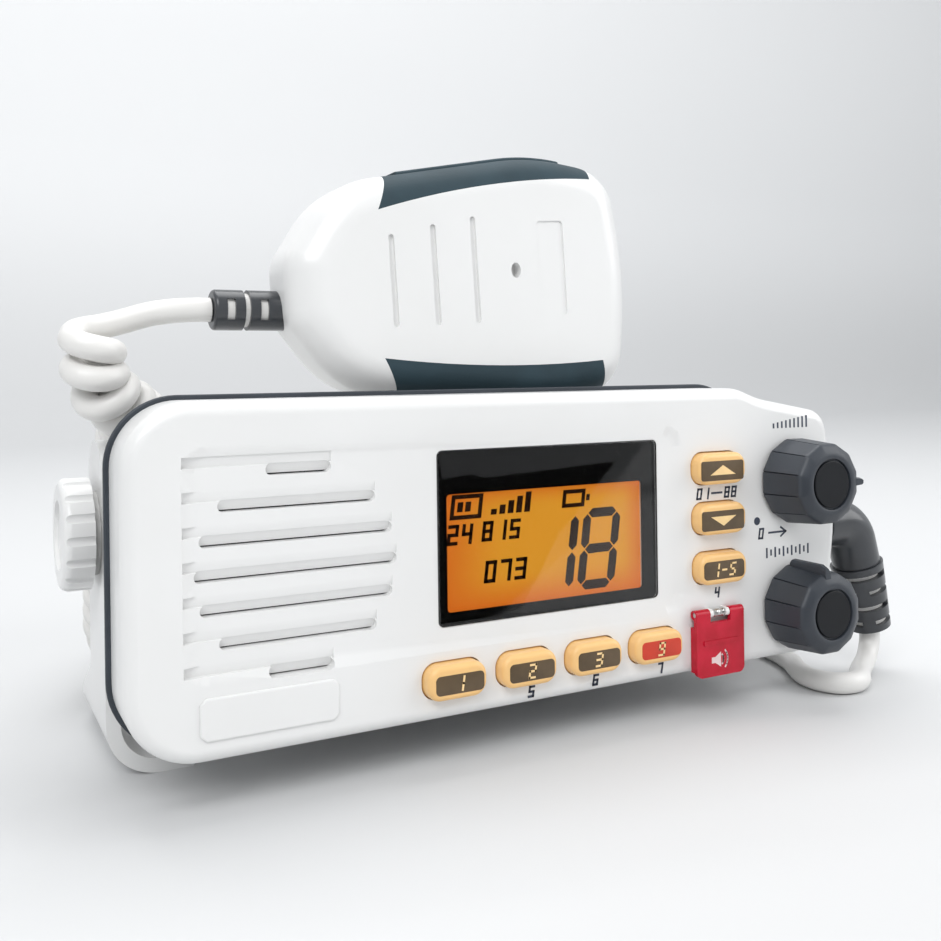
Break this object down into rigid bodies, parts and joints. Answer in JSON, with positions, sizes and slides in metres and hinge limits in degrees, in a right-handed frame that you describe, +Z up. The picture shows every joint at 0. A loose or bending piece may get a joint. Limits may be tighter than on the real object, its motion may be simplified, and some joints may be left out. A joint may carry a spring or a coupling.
{
  "type": "vhf marine radio",
  "caption": "Fixed-mount marine VHF radio with speaker grille, display, keys, covered siren button and knobs, in a tilting gimbal bracket with a fist microphone on a curly cord.",
  "frame": {"origin": "middle of the bracket's four screw holes, on the surface the bracket stands on", "axes": "+X to the set's right as seen by its user, +Y to the rear, +Z up; the front panel faces -Y"},
  "size_m": [0.2126, 0.1536, 0.1373],
  "materials": {
    "white_plastic": "semi-gloss moulded plastic",
    "white_casting": "white powder coat on die casting",
    "slate_rubber": "soft satin",
    "black_rubber": "satin",
    "pale_rubber": "matte",
    "charcoal_plastic": "satin",
    "black_plastic": "matte",
    "pale_plastic": "matte",
    "stainless": "satin",
    "nickel": "bright",
    "brass": "machined",
    "brushed_control": "satin",
    "circuit_board": "solder mask",
    "smoked_window": "gloss",
    "amber_lcd": "backlit",
    "amber_key": "translucent satin",
    "red_plastic": "translucent gloss",
    "white_cord": "satin jacket"
  },
  "bodies": {
    "radio": {"antenna_socket": "nickel", "cord_boot": "black_rubber", "cord_coil": "white_cord", "cord_elbow": "black_rubber", "cord_lead": "white_cord", "display_window": "smoked_window", "front_board": "circuit_board", "front_panel": "white_plastic", "heat_sink": "white_casting", "housing_screws": "stainless", "key_switches": "stainless", "lcd_holder": "pale_plastic", "lcd_panel": "amber_lcd", "main_board": "circuit_board", "name_plate": "white_plastic", "panel_gasket": "slate_rubber", "rear_glands": "black_rubber", "rear_housing": "white_plastic", "siren_hinge_pin": "stainless", "siren_spring": "stainless", "speaker_driver": "black_plastic", "squelch_control": "brushed_control", "thread_inserts": "brass", "volume_control": "brushed_control"},
    "volume": {"volume_knob": "charcoal_plastic", "volume_knob_cap": "charcoal_plastic", "volume_shaft": "brushed_control"},
    "squelch": {"squelch_knob": "charcoal_plastic", "squelch_knob_cap": "charcoal_plastic", "squelch_shaft": "brushed_control"},
    "siren_cover": {"siren_cover": "red_plastic"},
    "siren_button": {"siren_button": "red_plastic"},
    "bracket": {"gimbal_bracket": "white_plastic", "bracket_pads": "pale_rubber"},
    "left_washer": {"left_clamp_washer": "pale_rubber"},
    "left_knob": {"left_clamp_knob": "white_plastic", "left_clamp_stud": "stainless"},
    "right_washer": {"right_clamp_washer": "pale_rubber"},
    "right_knob": {"right_clamp_knob": "white_plastic", "right_clamp_stud": "stainless"},
    "microphone": {"mic_front_shell": "white_plastic", "mic_back_shell": "white_plastic", "mic_grip": "slate_rubber", "mic_screws": "stainless", "mic_hang_stud": "stainless", "mic_capsule": "stainless", "mic_board": "circuit_board", "mic_boot": "black_rubber", "ptt_pin": "stainless", "cord_mic_end": "white_cord"},
    "ptt": {"ptt_lever": "slate_rubber"},
    "channel_up_key": {"channel_up_key": "amber_key"},
    "channel_down_key": {"channel_down_key": "amber_key"},
    "power_level_key": {"power_level_key": "amber_key"},
    "function_key_1": {"function_key_1": "amber_key"},
    "function_key_2": {"function_key_2": "amber_key"},
    "function_key_3": {"function_key_3": "amber_key"},
    "distress_key": {"distress_key": "amber_key"}
  },
  "joints": [
    {"name": "channel_up_press", "type": "slide", "parent": "radio", "child": "channel_up_key", "axis": [0, 1, 0], "range_m": [0, 0.0008], "stiffness_N_per_m": 900, "springref_m": -0.0008},
    {"name": "channel_down_press", "type": "slide", "parent": "radio", "child": "channel_down_key", "axis": [0, 1, 0], "range_m": [0, 0.0008], "stiffness_N_per_m": 900, "springref_m": -0.0008},
    {"name": "power_level_press", "type": "slide", "parent": "radio", "child": "power_level_key", "axis": [0, 1, 0], "range_m": [0, 0.0008], "stiffness_N_per_m": 900, "springref_m": -0.0008},
    {"name": "function_1_press", "type": "slide", "parent": "radio", "child": "function_key_1", "axis": [0, 1, 0], "range_m": [0, 0.0008], "stiffness_N_per_m": 900, "springref_m": -0.0008},
    {"name": "function_2_press", "type": "slide", "parent": "radio", "child": "function_key_2", "axis": [0, 1, 0], "range_m": [0, 0.0008], "stiffness_N_per_m": 900, "springref_m": -0.0008},
    {"name": "function_3_press", "type": "slide", "parent": "radio", "child": "function_key_3", "axis": [0, 1, 0], "range_m": [0, 0.0008], "stiffness_N_per_m": 900, "springref_m": -0.0008},
    {"name": "distress_press", "type": "slide", "parent": "radio", "child": "distress_key", "axis": [0, 1, 0], "range_m": [0, 0.0008], "stiffness_N_per_m": 900, "springref_m": -0.0008},
    {"name": "siren_press", "type": "slide", "parent": "radio", "child": "siren_button", "axis": [0, 1, 0], "range_m": [0, 0.0008], "stiffness_N_per_m": 900, "springref_m": -0.0008},
    {"name": "siren_cover_hinge", "type": "hinge", "parent": "radio", "child": "siren_cover", "pos_m": [0.0473, -0.0653, 0.0253], "axis": [-1, 0, 0], "range_deg": [0, 110], "stiffness_Nm_per_rad": 0.0008, "springref_deg": -22.92},
    {"name": "volume_turn", "type": "hinge", "parent": "radio", "child": "volume", "pos_m": [0.0731, -0.072, 0.0555], "axis": [0, 1, 0], "range_deg": [-225, 75]},
    {"name": "squelch_turn", "type": "hinge", "parent": "radio", "child": "squelch", "pos_m": [0.0731, -0.072, 0.024], "axis": [0, 1, 0], "range_deg": [-127, 173]},
    {"name": "bracket_tilt", "type": "hinge", "parent": "radio", "child": "bracket", "pos_m": [0, -0.022, 0.0502], "axis": [1, 0, 0], "range_deg": [-10, 10]},
    {"name": "left_clamp_travel", "type": "slide", "parent": "radio", "child": "left_washer", "axis": [-1, 0, 0], "range_m": [0, 0.0025]},
    {"name": "left_clamp_turn", "type": "hinge", "parent": "left_washer", "child": "left_knob", "pos_m": [-0.093, -0.022, 0.0502], "axis": [-1, 0, 0], "range_deg": [0, 730]},
    {"name": "right_clamp_travel", "type": "slide", "parent": "radio", "child": "right_washer", "axis": [1, 0, 0], "range_m": [0, 0.0025]},
    {"name": "right_clamp_turn", "type": "hinge", "parent": "right_washer", "child": "right_knob", "pos_m": [0.093, -0.022, 0.0502], "axis": [1, 0, 0], "range_deg": [0, 730]},
    {"name": "microphone_lift", "type": "slide", "parent": "radio", "child": "microphone", "axis": [0, 0, 1], "range_m": [0, 0.1]},
    {"name": "ptt_rock", "type": "hinge", "parent": "microphone", "child": "ptt", "pos_m": [-0.02058, -0.031, 0.12877], "axis": [0, 1, 0], "range_deg": [0, 3], "stiffness_Nm_per_rad": 0.8, "springref_deg": -1.15}
  ],
  "couplings": [
    {"joint": "left_clamp_turn", "follows": "left_clamp_travel", "rad_per_m": 5026.5},
    {"joint": "right_clamp_turn", "follows": "right_clamp_travel", "rad_per_m": 5026.5}
  ]
}
